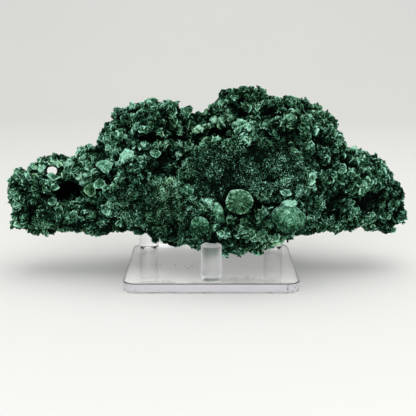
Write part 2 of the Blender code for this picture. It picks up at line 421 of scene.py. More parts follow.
def seen_as(points):
    """Picture coordinates of points, and how far ahead of the camera they lie."""
    turned = np.array(Euler((math.radians(90) - CAMERA_PITCH, 0, 0)).to_matrix())
    local = (points - np.array(CAMERA_PLACE)) @ turned
    ahead = -local[:, 2]
    across = VIEW_PIXELS / 2 + FOCAL_PIXELS * local[:, 0] / ahead
    down = VIEW_PIXELS / 2 - FOCAL_PIXELS * local[:, 1] / ahead
    return np.stack((across, down), 1), ahead


def cave_depth(points, normals):
    """How far each front place is pushed back, which the tone also darkens as painted shade: for
    each cave, its depth times a bell with steep sides. Its outline is between an oval and a box: the
    cubes of x and y add up to 1. Noise makes it ragged."""
    pixels, _ = seen_as(points)
    ragged = 0.22 * soft_noise(points, 1.8 * MM, 81)
    towards = unit(np.array(CAMERA_PLACE) - points)
    front = smooth_step(-0.25, 0.15, (normals * towards).sum(1))
    depth = np.zeros(len(points))
    for middle, reach, most in CAVES:
        away = (np.abs((pixels - middle) / np.array(reach)) ** 3).sum(1) ** (1 / 3)
        depth = np.maximum(depth, most * (1 - smooth_step(0.7, 1.08, away + ragged)))
    return depth * front


def velvet_share(points):
    """Up to 1 on the patches of fine fibres, 0 away from them, with a ragged border."""
    ragged = 0.15 * soft_noise(points, 5 * MM, 5)
    share = np.zeros(len(points))
    for middle, reach, strength in VELVET:
        away = np.linalg.norm((points / MM - middle) / np.array(reach), axis=1)
        share = np.maximum(share, strength * (1 - smooth_step(0.8, 1.05, away + ragged)))
    return share


def kept_in(points):
    """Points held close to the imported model's box: what reaches past a face of it is eased in, and
    stays short of a limit, by the hyperbolic tangent."""
    low, high = (np.array(corner) for corner in CAD_BOX)
    past = points - np.clip(points, low, high)
    return points - past + PAST_BOX * np.tanh(past / PAST_BOX)


def crested(points, lines):
    """How far the crests raise each place, what they add to its tone, and how close to one it is:
    for each crest, a bell of the distance to its line of straight parts. The highest counts."""
    height, tone, close = np.zeros((3, len(points)))
    for line, ((width, rise, change), _) in zip(lines, CRESTS):
        away = np.full(len(points), np.inf)
        for start, end in zip(line, line[1:]):
            along = end - start
            share = np.clip((points - start) @ along / (along @ along), 0, 1)
            away = np.minimum(away, np.linalg.norm(points - start - share[:, None] * along, axis=1))
        bell = np.exp(-((away / width) ** 2))
        height, tone = np.maximum(height, rise * bell), np.maximum(tone, change * bell)
        close = np.maximum(close, bell)
    return height, tone, close


def from_form(points, form, wider=0):
    """How far points lie ahead of or behind a form's middle, and how far out across its oval, with
    1 at its edge."""
    middle, axes, half = form
    local = (points - middle) @ axes.T
    return np.abs(local[:, 2]), np.linalg.norm(local[:, :2] / (half + wider), axis=1)


def lumped(points, forms):
    """How the named lumps carry each place outwards, what they add to its tone, and how far inside
    one it is: half a ball over each one's ragged oval. The highest lump counts."""
    shift, tone, inside = np.zeros_like(points), np.zeros(len(points)), np.zeros(len(points))
    ragged = 1 + 0.16 * soft_noise(points, 1.6 * MM, 71)
    for (kind, _, _, _, change, _), form in zip(FORMS, forms):
        if kind == "lump":
            _, axes, half = form
            ahead, flat = from_form(points, form)
            dome = np.sqrt(np.clip(1 - (flat * ragged) ** 2, 0, 1)) * (ahead < 2 * half.mean())
            higher = dome > inside
            shift[higher] = dome[higher, None] * 0.7 * half.mean() * axes[2]
            tone[higher] = change * smooth_step(0, 0.5, dome[higher])
            inside = np.maximum(inside, dome)
    return shift, tone, inside


class SolidGrid:
    """Cells filled by the stone, blurred over a short and a long reach."""

    def __init__(self, points):
        self.low = points.min(0) - GRID_MARGIN
        shape = np.ceil((points.max(0) + GRID_MARGIN - self.low) / CELL).astype(int)
        shell = np.zeros(shape, bool)
        shell[tuple(((points - self.low) / CELL).astype(int).T)] = True
        outside = np.zeros(shape, bool)
        outside[0] = True
        size = 0
        while outside.sum() > size:
            size = outside.sum()
            for axis, step in itertools.product(range(3), (-1, 1)):
                outside |= np.roll(outside, step, axis) & ~shell
        solid = (~outside).astype(np.float32)
        self.near = self.blurred(solid, NEAR_BLUR)
        self.far = self.blurred(solid, FAR_BLUR)

    @staticmethod
    def blurred(field, width):
        """Gaussian blur along each axis in turn, its width in cells."""
        for axis in range(3):
            steps = np.arange(-int(3 * width), int(3 * width) + 1)
            weights = np.exp(-((steps / width) ** 2) / 2)
            weights /= weights.sum()
            field = sum(w * np.roll(field, s, axis) for s, w in zip(steps, weights))
        return field

    def share(self, field, points):
        """The field at each point, blended between the eight cells round it."""
        scaled = (points - self.low) / CELL - 0.5
        home = np.clip(np.floor(scaled).astype(int), 0, np.array(field.shape) - 2)
        share = np.clip(scaled - home, 0, 1)
        total = 0
        for corner in itertools.product((0, 1), repeat=3):
            weight = np.prod(np.where(corner, share, 1 - share), axis=1)
            total = total + weight * field[tuple((home + np.array(corner)).T)]
        return total

    def openness(self, points, normals):
        """1 on an open face and 0 deep in a gap, from the share of solid close by and further: the
        measure of the shade painted into the gaps.
        """
        ahead = points + normals * 0.8 * MM
        near = 1 - smooth_step(0.30, 0.80, self.share(self.near, ahead))
        far = 1 - smooth_step(0.38, 0.78, self.share(self.far, ahead))
        return 0.5 * near + 0.5 * far


def fine_copy(node, grid):
    """A merged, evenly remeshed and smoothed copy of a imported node: points, normals, triangles."""
    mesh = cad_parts[node].data.copy()
    bm = bmesh.new()
    bm.from_mesh(mesh)
    bmesh.ops.remove_doubles(bm, verts=bm.verts, dist=0.001 * MM)
    bm.to_mesh(mesh)
    bm.free()
    fine = bpy.data.objects.new("fine_copy", mesh)
    bpy.context.scene.collection.objects.link(fine)
    even = fine.modifiers.new("even", "REMESH")
    even.mode = "VOXEL"
    even.voxel_size = grid
    soften = fine.modifiers.new("soften", "SMOOTH")
    soften.factor = 0.5
    soften.iterations = 6
    found = fine.evaluated_get(bpy.context.evaluated_depsgraph_get()).to_mesh()
    points = np.empty(len(found.vertices) * 3, np.float32)
    found.vertices.foreach_get("co", points)
    found.calc_loop_triangles()
    triangles = np.empty(len(found.loop_triangles) * 3, np.int32)
    found.loop_triangles.foreach_get("vertices", triangles)
    bpy.data.objects.remove(fine, do_unlink=True)
    points = points.reshape(-1, 3).astype(float)
    triangles = triangles.reshape(-1, 3)
    return points, vertex_normals(points, triangles), triangles


def vertex_normals(points, triangles):
    """Sum of the neighbouring triangles' normals at each point, by their area."""
    a, b, c = (points[triangles[:, i]] for i in range(3))
    crossed = np.cross(b - a, c - a)
    total = np.zeros_like(points)
    for corner in range(3):
        for axis in range(3):
            total[:, axis] += np.bincount(
                triangles[:, corner], weights=crossed[:, axis], minlength=len(points)
            )
    return unit(total)


class Stone:
    """The stone's fine surface. What grows on it reads its places, tones and gaps."""

    def __init__(self, settings):
        base, normals, self.triangles = fine_copy("malachite", settings.crust_grid)
        self.grid = SolidGrid(base)
        self.cave = cave_depth(base, normals)
        velvet = velvet_share(base)
        calm = 1 - 0.8 * velvet
        room = free_room(base)
        freedom = 0.2 + 0.8 * room
        warp = np.stack([soft_noise(base, 3 * MM, seed) for seed in (1, 2, 3)], 1) * WARP
        big, gap, label = domes(base + warp, settings.lump_size, 31)
        small, small_gap, _ = domes(base + 0.6 * warp, 0.45 * settings.lump_size, 32)
        knoll, dip, _ = domes(base + 2 * warp, settings.knoll_size, 34)
        curls = ridges(base, CURL_WIDTH, 41)
        fine = ridges(base, FINE_WIDTH, 45)
        creased = smooth_step(0, 0.25, gap)
        dipped = smooth_step(0, 0.28, dip)
        parted = smooth_step(0, 0.2, small_gap)
        height = calm * settings.lump_height * (0.75 * big + 0.25 * creased - 0.62)
        height += calm * KNOLL_HEIGHT * (0.5 * knoll + 0.5 * dipped - 0.75)
        height += calm * SMALL_HEIGHT * (0.7 * small + 0.3 * parted - 0.55)

        # The base is pushed away from the camera in the caves, and what is placed by a picture
        # coordinate is found on that surface
        toward = np.array(CAMERA_PLACE) - base
        pushed = base - unit(toward) * (self.cave * room)[:, None]
        tree = BVHTree.FromPolygons(pushed.tolist(), self.triangles.tolist())
        self.shades = [seen_at(tree, pixel)[0] for pixel, _, _ in SHADES]
        self.forms = place_forms(tree)
        beside = gap_by_forms(self.forms, pushed)
        lines = [np.array([seen_at(tree, pixel)[0] for pixel in line]) for _, line in CRESTS]
        crest, crest_tone, self.crest = crested(pushed, lines)
        shift, lump_tone, inside = lumped(pushed, self.forms)

        # Relief along the base's normals, less round the forms and at the window and the pegs
        height = height * (1 - 0.8 * beside) * (1 - 0.7 * inside) - FORM_GAP * beside
        widened = WINDOW_WIDENED * (1 - smooth_step(*WINDOW_RIM, to_line(base, WINDOW_ENDS)))
        coarse = pushed + normals * (height * freedom - widened)[:, None]
        outwards = unit(unit(toward) + np.array(UP) + 0.6 * normals)
        coarse += (shift + outwards * crest[:, None]) * room[:, None]
        self.lump_normals = vertex_normals(coarse, self.triangles)
        detail = CURL_HEIGHT * calm * (curls - 0.4) + FINE_HEIGHT * (fine - 0.4)
        self.points = kept_in(coarse + self.lump_normals * (detail * freedom)[:, None])

        # What the relief adds to the tone of each place: painted shade in the creases and dips
        # between the domes and painted light on their tops, on the lumps and on the crests, with
        # each lump's own change, a random tone for each dome, slow noise, and a deeper velvet
        self.lump = 0.24 * (big * creased - 0.6) + 0.12 * (small - 0.6) + 0.08 * (label - 0.5)
        self.lump += 0.10 * soft_noise(base, 6 * MM, 55) - 0.10 * velvet
        self.lump += 0.16 * calm * (dipped - 0.8) + lump_tone + 0.12 * inside
        self.lump += 0.6 * crest_tone
        # The curling ridges' heights, which the crust's tone takes as painted highlight on the
        # ridges and painted shade between them
        self.relief = 0.30 * curls * calm + 0.22 * fine
        corners = self.points[self.triangles]
        crossed = np.cross(corners[:, 1] - corners[:, 0], corners[:, 2] - corners[:, 0])
        self.areas = np.linalg.norm(crossed, axis=1) / 2

    def shade(self, points, normals):
        """The part of a tone that comes from the place: painted shade in its gap, its cave and
        beside a form, painted light where it is open or faces up, and its region's tone, partly
        painted light and shade.
        """
        tone = OPEN_SHADE_TONE * self.grid.openness(points, normals) + self.region_tone(points)
        tone += UPWARD_LIGHT_TONE * normals[:, 2] + CAVE_SHADE_TONE * cave_depth(points, normals)
        return tone + BESIDE_FORM_SHADE_TONE * gap_by_forms(self.forms, points)

    def region_tone(self, points):
        """How much paler or deeper than the rest each place is, partly painted light and shade: slow
        noise and soft balls of change, added up.
        """
        tone = 0.10 * soft_noise(points, 9 * MM, 21)
        for middle, (_, reach, change) in zip(self.shades, SHADES):
            away = np.linalg.norm(points - middle, axis=1) / (reach * MM)
            tone = tone + change * np.exp(-(away**2))
        return tone

    def spots(self, spacing, seed, weight):
        """Places and normals spread over the stone: random by area, kept by a weight from 0 to 1,
        and then one in each cell of a grid of the spacing."""
        dice = np.random.default_rng(seed)
        count = int(4 * self.areas.sum() / spacing**2)
        chosen = dice.choice(len(self.areas), count, p=self.areas / self.areas.sum())
        first, second = dice.random((2, count))
        flip = first + second > 1
        first[flip], second[flip] = 1 - first[flip], 1 - second[flip]
        a, b, c = (self.triangles[chosen, i] for i in range(3))
        places = self.points[a] + first[:, None] * (self.points[b] - self.points[a])
        places += second[:, None] * (self.points[c] - self.points[a])
        lit = 1 - smooth_step(0.8 * MM, 2.5 * MM, self.cave[a])
        lit = lit * (1 - 0.75 * self.crest[a])
        kept = np.flatnonzero(dice.random(count) < weight(places) * lit)
        cells = np.floor(places[kept] / spacing + dice.random(3)).astype(np.int64)
        _, alone = np.unique(cells @ np.array((1, 4096, 4096**2)), return_index=True)
        kept = kept[alone]
        vertex = a[kept]
        return places[kept], self.lump_normals[vertex], self.lump[vertex], dice


@functools.cache
def stone():
    """The stone's surface, made once."""
    return Stone(bpy.context.scene.specimen_stone)


def closed_grid(rings, sides):
    """Triangles over rings of points between two poles. Points are numbered from the first pole,
    ring by ring, to the last. Faces point out when the first pole is on top."""
    ring = 1 + np.arange(rings)[:, None] * sides + np.arange(sides)
    after = np.roll(ring, -1, axis=1)
    last = 1 + rings * sides
    cap = np.stack((np.zeros(sides, int), ring[0], after[0]), -1)
    foot = np.stack((ring[-1], np.full(sides, last), after[-1]), -1)
    one = np.stack((ring[:-1], ring[1:], after[1:]), -1).reshape(-1, 3)
    two = np.stack((ring[:-1], after[1:], after[:-1]), -1).reshape(-1, 3)
    return np.concatenate((cap, one, two, foot))


def capped(top, rings, bottom):
    """A closed surface: rings of points between two poles, as points and triangles."""
    points = np.concatenate(((top,), rings.reshape(-1, 3), (bottom,)))
    return points, closed_grid(*rings.shape[:2])


def per_point(top, rings, bottom):
    """One value for each point of a capped surface."""
    return np.concatenate(((top,), np.ravel(rings), (bottom,)))


# A small closed form: points round a middle, their triangles, and each point's paleness as a share
# of the rim's: the pale rims and tips are partly the crystals' own paleness and partly painted
# highlight
Shape = collections.namedtuple("Shape", "points triangles pale")


def rosette(sides, profile, bend=0.0, ruffle=0.0):
    """A Shape from a profile of radius, height and paleness, from the top pole, through rings, to
    the bottom pole. Each ring is its radius times the cosine and sine of even angles. The whole is
    bent along X by the square of x, and ruffled in three waves towards the rim."""
    radius, height, pale = np.array(profile, float).T
    turn = math.tau * np.arange(sides) / sides
    x = radius[1:-1, None] * np.cos(turn)
    y = radius[1:-1, None] * np.sin(turn)
    z = height[1:-1, None] + bend * x**2
    z = z + ruffle * radius[1:-1, None] ** 2 * np.sin(3 * turn + 1)
    surface = capped((0, 0, height[0]), np.stack((x, y, z), -1), (0, 0, height[-1]))
    return Shape(*surface, per_point(pale[0], np.repeat(pale[1:-1], sides), pale[-1]))


def crescent(stations, width, bow, arch):
    """A curled ridge as a Shape: rings of three points along X whose size falls as the root of
    1 - x squared, bowed sideways and arched down by the square of x, and palest on its crest."""
    x = np.cos(np.radians(180) * np.arange(stations + 2) / (stations + 1))
    reach = np.sqrt(np.clip(1 - x**2, 0, 1))
    y = width * reach[:, None] * np.array((1, 0, -1)) + bow * x[:, None] ** 2
    z = reach[:, None] * np.array((-0.3, 0.6, -0.3)) - arch * x[:, None] ** 2
    rings = np.stack(np.broadcast_arrays(x[:, None], y, z), -1)
    surface = capped(rings[0, 0], rings[1:-1], rings[-1, 0])
    return Shape(*surface, per_point(0.3, np.tile((-0.3, 1.0, -0.3), stations), 0.3))


FLAKE = rosette(6, ((0, 0.14, -0.2), (1, 0, 1.0), (0, -0.16, -0.5)), -0.5, 0.2)
PETAL = rosette(
    8, ((0, 0.0, -0.5), (0.65, 0.06, -0.1), (1, 0.16, 1.0), (0, -0.26, -0.6)), -0.4, 0.2
)
FIBRE = rosette(3, ((0, 1, 1.0), (1, 0, -0.3), (0, -0.5, -0.6)))
CURL = crescent(5, 0.30, 0.20, 0.40)
SHORT_CURL = crescent(3, 0.38, 0.15, 0.35)


def frames(normals, dice, lean):
    """For each normal, three axes: Z leans from it by up to this angle, and X and Y turn freely."""
    helper = np.where(np.abs(normals[:, 2:]) < 0.9, (0.0, 0.0, 1.0), (1.0, 0.0, 0.0))
    side = unit(np.cross(helper, normals))
    other = np.cross(normals, side)
    low, high = lean
    tilt = dice.uniform(low, high, len(normals))[:, None]
    way = dice.uniform(0, math.tau, len(normals))[:, None]
    z = np.cos(tilt) * normals + np.sin(tilt) * (np.cos(way) * side + np.sin(way) * other)
    x = unit(np.cross(z, unit(np.cross(z, helper) + 1e-6)))
    spin = dice.uniform(0, math.tau, len(normals))[:, None]
    y = np.cross(z, x)
    x = np.cos(spin) * x + np.sin(spin) * y
    return np.stack((x, np.cross(z, x), z), 1)


def grown(shape, places, axes, sizes, dice, rough):
    """Copies of a shape at every place: its points times the sizes, plus a random shift of each
    point, carried to the place along the axes."""
    local = shape.points[None] + dice.normal(0, rough, (len(places), *shape.points.shape))
    points = places[:, None] + np.einsum("nvk,nkj->nvj", local * sizes[:, None], axes)
    starts = np.arange(len(places)) * len(shape.points)
    triangles = shape.triangles[None] + starts[:, None, None]
    return points, triangles.reshape(-1, 3)


def piece(name, points, triangles, material, values, smooth=True):
    """A mesh object that rides on the body, with named values kept for every point."""
    points = np.asarray(points, float).reshape(-1, 3)
    triangles = np.asarray(triangles, np.int32)
    mesh = bpy.data.meshes.new(name)
    mesh.vertices.add(len(points))
    mesh.vertices.foreach_set("co", points.ravel().astype(np.float32))
    mesh.loops.add(triangles.size)
    mesh.loops.foreach_set("vertex_index", triangles.ravel())
    mesh.polygons.add(len(triangles))
    mesh.polygons.foreach_set("loop_start", np.arange(0, triangles.size, 3, dtype=np.int32))
    mesh.update(calc_edges=True)
    mesh.validate()
    mesh.polygons.foreach_set("use_smooth", np.full(len(triangles), smooth))
    for label, numbers in values.items():
        layer = mesh.attributes.new(label, "FLOAT", "POINT")
        layer.data.foreach_set("value", np.ravel(numbers).astype(np.float32))
    mesh.materials.append(material)
    made = bpy.data.objects.new(name, mesh)
    bpy.context.scene.collection.objects.link(made)
    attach(made, BODY)
    return made


def palette_map(made, tone, hue):
    """A map for a piece of many small shapes: across is the tone and up is the hue, both eased in
    towards the map's sides so that no triangle is flat."""
    mesh = made.data
    corner = np.empty(len(mesh.loops), np.int32)
    mesh.loops.foreach_get("vertex_index", corner)
    across = 0.5 + 0.5 * np.tanh(1.3 * (np.ravel(tone) - 0.5))[corner]
    up = 0.5 + 0.5 * np.tanh(np.ravel(hue))[corner]
    layer = mesh.uv_layers.new(name="OFBake")
    layer.uv.foreach_set("vector", np.stack((across, up), -1).ravel().astype(np.float32))


class Tree:
    """A material's nodes, added one by one."""

    def __init__(self, name):
        self.material = bpy.data.materials.new(name)
        self.material.use_nodes = True
        self.nodes = self.material.node_tree.nodes
        self.shader = self.nodes["Principled BSDF"]

    def add(self, kind, inputs=(), **settings):
        """A node with these settings. An input is a value, or another node's output to link."""
        node = self.nodes.new("ShaderNode" + kind)
        for key, value in settings.items():
            setattr(node, key, value)
        for key, value in dict(inputs).items():
            self.put(node.inputs[key], value)
        return node

    def put(self, socket, value):
        """Link another node's output to a socket, or set the socket to a value."""
        if isinstance(value, bpy.types.NodeSocket):
            self.material.node_tree.links.new(value, socket)
        else:
            socket.default_value = value

    def finish(self, name, output):
        """Another node's output linked to one of the shader's sockets."""
        self.put(self.shader.inputs[name], output)

    def kept(self, name):
        """A value kept for every point of the mesh."""
        return self.add("Attribute", attribute_name=name).outputs["Fac"]

    def constants(self, **values):
        """Numbers set on the shader's own sockets."""
        for key, value in values.items():
            self.shader.inputs[key.replace("_", " ")].default_value = value

    def ramp(self, factor, stops):
        """A colour by a value, blended between stops of place and colour."""
        node = self.add("ValToRGB", {0: factor})
        elements = node.color_ramp.elements
        while len(elements) < len(stops):
            elements.new(0.5)
        for element, (place, colour) in zip(elements, stops):
            element.position = place
            element.color = (*colour, 1)
        return node.outputs["Color"]

    def noise(self, scale, detail=3.0, distortion=0.0):
        """Noise from 0 to 1 on the piece's own coordinates, in waves a metre."""
        inputs = {"Vector": self.add("TexCoord").outputs["Object"], "Scale": scale}
        inputs |= {"Detail": detail, "Distortion": distortion}
        return self.add("TexNoise", inputs).outputs["Fac"]

    def crests(self, scale, width):
        """1 where curling noise crosses its middle value, 0 further from it than the width."""
        noise = self.noise(scale, 1.5, 0.8)
        off = self.add("Math", {0: noise, 1: 0.5}, operation="SUBTRACT").outputs[0]
        off = self.add("Math", {0: off}, operation="ABSOLUTE").outputs[0]
        return self.mapped(off, 0.0, width, 1.0, 0.0)

    def mapped(self, value, low, high, to_low, to_high):
        """A value carried evenly from one range to another, and held inside it."""
        inputs = {0: value, 1: low, 2: high, 3: to_low, 4: to_high}
        return self.add("MapRange", inputs).outputs[0]

    def added(self, first, second):
        """The sum of two values."""
        return self.add("Math", {0: first, 1: second}, operation="ADD").outputs[0]


# Tones at which the five greens stand, from the deepest to mint, and what makes them warm or cool
GREEN_PLACES = (0.05, 0.34, 0.57, 0.79, 0.97)
WARMER = (1.6, 1.0, 0.55)
COOLER = (1.0, 0.95, 1.2)


@functools.cache
def malachite(name, folds, fineness, raised):
    """Green by tone, which holds painted shade and light, from near black in the gaps to mint on the
    rims, with finer flecks over it.
    hue turns it towards olive above 0 and blue-green below. Folds are the strength of its curling
    crests, where noise crosses its middle value, which are paler and may be raised."""
    settings = bpy.context.scene.specimen_stone
    greens = [tuple(c) for c in (settings.deepest, settings.deep, settings.middle)]
    greens += [tuple(settings.pale), tuple(settings.mint)]
    tree = Tree(name)
    tone = tree.kept("tone")
    flecks = tree.mapped(tree.noise(1100.0), 0.3, 0.7, -0.06, 0.06)
    toned = tree.added(tone, flecks)
    crests = tree.crests(620.0 * fineness, 0.09)
    finer = tree.crests(1300.0 * fineness, 0.10)
    toned = tree.added(toned, tree.mapped(crests, 0.0, 1.0, -0.12 * folds, 0.24 * folds))
    toned = tree.added(toned, tree.mapped(finer, 0.0, 1.0, -0.07 * folds, 0.14 * folds))
    plain = tree.ramp(toned, list(zip(GREEN_PLACES, greens)))
    warm, cool = ([tuple(np.multiply(c, by)) for c in greens] for by in (WARMER, COOLER))
    hue = tree.kept("hue")
    colour = plain
    for stops, low, high in ((warm, 0.0, 1.0), (cool, 0.0, -1.0)):
        other = tree.ramp(toned, list(zip(GREEN_PLACES, stops)))
        share = tree.mapped(hue, low, high, 0.0, 1.0)
        mixed = tree.add("Mix", {0: share, 6: colour, 7: other}, data_type="RGBA")
        colour = mixed.outputs[2]
    tree.finish("Base Color", colour)
    tree.finish("Roughness", tree.mapped(toned, 0.0, 1.0, 0.85, 0.48))
    tree.constants(Specular_IOR_Level=0.04)
    if raised:
        height = tree.added(crests, tree.mapped(finer, 0.0, 1.0, 0.0, 0.45))
        bump = tree.add("Bump", {"Height": height, "Distance": 0.22 * MM * folds})
        tree.finish("Normal", bump.outputs[0])
    return tree.material


def acrylic():
    """Clear plastic, a little dull where it has been handled and more so where it was cut. It is
    lilac on the plate's upright sides, a painted edge highlight, and wavy at their corners."""
    settings = bpy.context.scene.specimen_stand
    tree = Tree("clear_acrylic")
    tree.constants(Transmission_Weight=1.0, IOR=1.49)
    side = tree.kept("side")
    tints = [(0.0, tuple(settings.tint)), (1.0, tuple(settings.edge_tint))]
    tree.finish("Base Color", tree.ramp(side, tints))
    handled = tree.mapped(tree.noise(160.0, 5.0), 0.45, 0.75, 0.01, 0.12)
    cut = tree.kept("cut")
    handled = tree.added(handled, tree.mapped(cut, 0.0, 1.0, 0.0, 0.45))
    tree.finish("Roughness", handled)
    wavy = tree.kept("wavy")
    waves = {"Height": tree.noise(420.0, 2.0), "Distance": 0.5 * MM}
    waves["Strength"] = tree.mapped(wavy, 0.0, 1.0, 0.01, 0.9)
    tree.finish("Normal", tree.add("Bump", waves).outputs[0])
    return tree.material


def small_shapes(name, points, triangles, tone, hue):
    """A piece of many small flat-shaded shapes."""
    silk = malachite("malachite_silk", 0.4, 1.5, False)
    made = piece(name, points, triangles, silk, {"tone": tone, "hue": hue}, False)
    palette_map(made, tone, hue)


def grow(name, shape, where, spacing, seed, size, spread, flat, lean, tones, sink, rough):
    """One piece of many copies of a shape. where weighs the places, size is the usual radius, and
    flat its shares along X, Y and Z. A copy's tone is its own plus its place's, which holds painted
    shade and light, plus what its rim and its height over the crust add: a paler rim, partly the
    crystals' own and partly painted highlight, painted light high over the crust and painted shade
    low by it. sink is how deep its middle sits, as a share of its size, and rough is how far its
    points are shifted."""
    places, normals, lump, dice = stone().spots(spacing, seed, where)
    sizes = spread_sizes(len(places), dice, size, spread, flat)
    own, rim, rise = tones
    axes = frames(normals, dice, lean)
    longest = sizes.max(1)
    middles = places - normals * (sink * longest)[:, None]
    points, triangles = grown(shape, middles, axes, sizes, dice, rough)
    base = stone().shade(places, normals) + 1.6 * lump + dice.normal(own, 0.11, len(places))
    base += 0.10 * soft_noise(places, 2.2 * MM, 52)
    over = np.einsum("nvk,nk->nv", points - places[:, None], normals) / longest[:, None]
    tone = base[:, None] + rim * shape.pale + rise * np.clip(over, -0.5, 1.0)
    tone += dice.normal(0, 0.06, tone.shape)
    cool = 0.15 * soft_noise(places, 14 * MM, 51) + dice.normal(0, 0.12, len(places))
    hue = cool[:, None] + dice.normal(0, 0.05, tone.shape)
    small_shapes(name, kept_in(points), triangles, tone, hue)


def spread_sizes(count, dice, size, spread, flat):
    """Sizes round a usual one, never under half or over 1.9 times it, times the shape's own."""
    length = size * np.clip(np.exp(dice.normal(0, spread, count)), 0.5, 1.9)
    return length[:, None] * np.array(flat) * dice.uniform(0.65, 1, (count, 3))


def outside_velvet(places):
    """Where the rosettes grow: not on the velvet, at the pegs or in front of a grown form."""
    return free_room(places) * (1 - velvet_share(places)) * clear_of_forms(places)


def on_velvet(places):
    """Where the fibres grow: on the velvet, and not in front of a grown form."""
    return velvet_share(places) * clear_of_forms(places)


class SPECIMEN_OT_crust(bpy.types.Operator):
    """Make the stone's crust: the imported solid, remeshed finely and raised in domes and crests"""

    bl_idname = "specimen.crust"
    bl_label = "Crust"

    def execute(self, context):
        surface = stone()
        # The tone holds painted shade in the gaps, caves and creases and painted light on open
        # faces, tops and ridges
        tone = surface.shade(surface.points, surface.lump_normals) + 1.6 * surface.lump
        tone += 1.2 * surface.relief - 0.52
        hue = 0.15 * soft_noise(surface.points, 14 * MM, 51)
        crust = piece(
            "crust",
            surface.points,
            surface.triangles,
            malachite("malachite_folded", 1.0, 1.0, True),
            {"tone": tone, "hue": hue},
        )
        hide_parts("malachite")
        return {"FINISHED"}


def sight(pixel):
    """Direction from the camera through a picture coordinate."""
    across = (pixel[0] - VIEW_PIXELS / 2) / FOCAL_PIXELS
    up = (VIEW_PIXELS / 2 - pixel[1]) / FOCAL_PIXELS
    turned = Euler((math.radians(90) - CAMERA_PITCH, 0, 0)).to_matrix()
    return (turned @ Vector((across, up, -1))).normalized()


def seen_at(tree, pixel):
    """Place and normal where the line of sight through a picture coordinate meets the stone."""
    place, normal, _, _ = tree.ray_cast(Vector(CAMERA_PLACE), sight(pixel))
    if place is None:
        raise RuntimeError(f"nothing of the stone is seen at {pixel}")
    return np.array(place), np.array(normal)


# Profiles of the larger grown forms, from the face's middle over the rim to the hidden root:
# radius, height and paleness, as shares of the form's half width
PROFILES = {
    "button": (
        (0, 0.34, 0.2), (0.35, 0.31, 0.1), (0.7, 0.20, 0.1), (0.93, 0.05, 0.3), (1, -0.05, 1.0),
        (0.95, -0.18, -0.3), (0.98, -0.26, 0.4), (0.8, -0.42, -0.6), (0.4, -1.6, -0.9),
        (0, -1.6, -0.9),
    ),
    "cup": (
        (0, -0.10, -0.4), (0.4, -0.05, -0.2), (0.75, 0.05, 0.1), (0.95, 0.12, 0.75),
        (1, 0.06, 1.0), (0.93, -0.05, 0.35), (0.65, -0.4, -0.2), (0.36, -0.9, -0.5),
        (0.3, -1.9, -0.8), (0, -1.9, -0.9),
    ),
    "lobe": (
        (0, 0.52, 0.35), (0.4, 0.47, 0.3), (0.75, 0.31, 0.15), (0.96, 0.06, 0.2), (1, -0.04, 0.9),
        (0.9, -0.5, -0.35), (0.65, -0.85, -0.6), (0.45, -1.3, -0.8), (0.4, -1.6, -0.9),
        (0, -1.6, -0.9),
    ),
    "slab": (
        (0, 0.10, 0.25), (0.4, 0.10, 0.2), (0.75, 0.08, 0.25), (0.95, 0.02, 0.55),
        (1, -0.06, 0.5), (0.95, -0.16, 0.0), (0.7, -0.4, -0.6), (0.5, -0.8, -0.8),
        (0.4, -1.5, -0.9), (0, -1.5, -0.9),
    ),
}

# How each kind is finished: waver of its outline, strength of its ribs, depth of its folds in
# millimetres, its twist, and paleness of its rim
FINISH = {
    "button": (0.03, 1.0, 0.2, 0.2 * MM, 0.45),
    "cup": (0.12, 0.5, 0.5, 0.8 * MM, 0.46),
    "lobe": (0.10, 0.35, 0.85, 0.6 * MM, 0.40),
    "slab": (0.06, 0.3, 0.35, 0.7 * MM, 0.30),
}
FORM_TONE = 0.36
FORM_SEED = 100

# A wider form than this half width has folds of this depth, whatever its kind
CALM_WIDTH = 5 * MM
CALM_FOLDS = 0.22

# Points round a form and rings along its profile, by the least half width that has them
FINENESS = ((4 * MM, 300, 26), (2.8 * MM, 128, 20), (0, 40, 16))

# How high a form's middle stands over the crust: a share of its half width up to a limit, and more
LIFT_SHARE = 0.35
MOST_LIFT = 1.0 * MM
LEAST_LIFT = 0.4 * MM

# How each kind of form is turned: shares of the way to the camera, straight up and the crust's
# own normal
FACING = {
    "lump": (0.4, 0.2, 0.6),
    "button": (0.8, 0.1, 0.3),
    "cup": (0.55, 0.55, 0.2),
    "lobe": (0.35, 0.3, 0.6),
    "slab": (0.5, 0.5, 0.2),
}

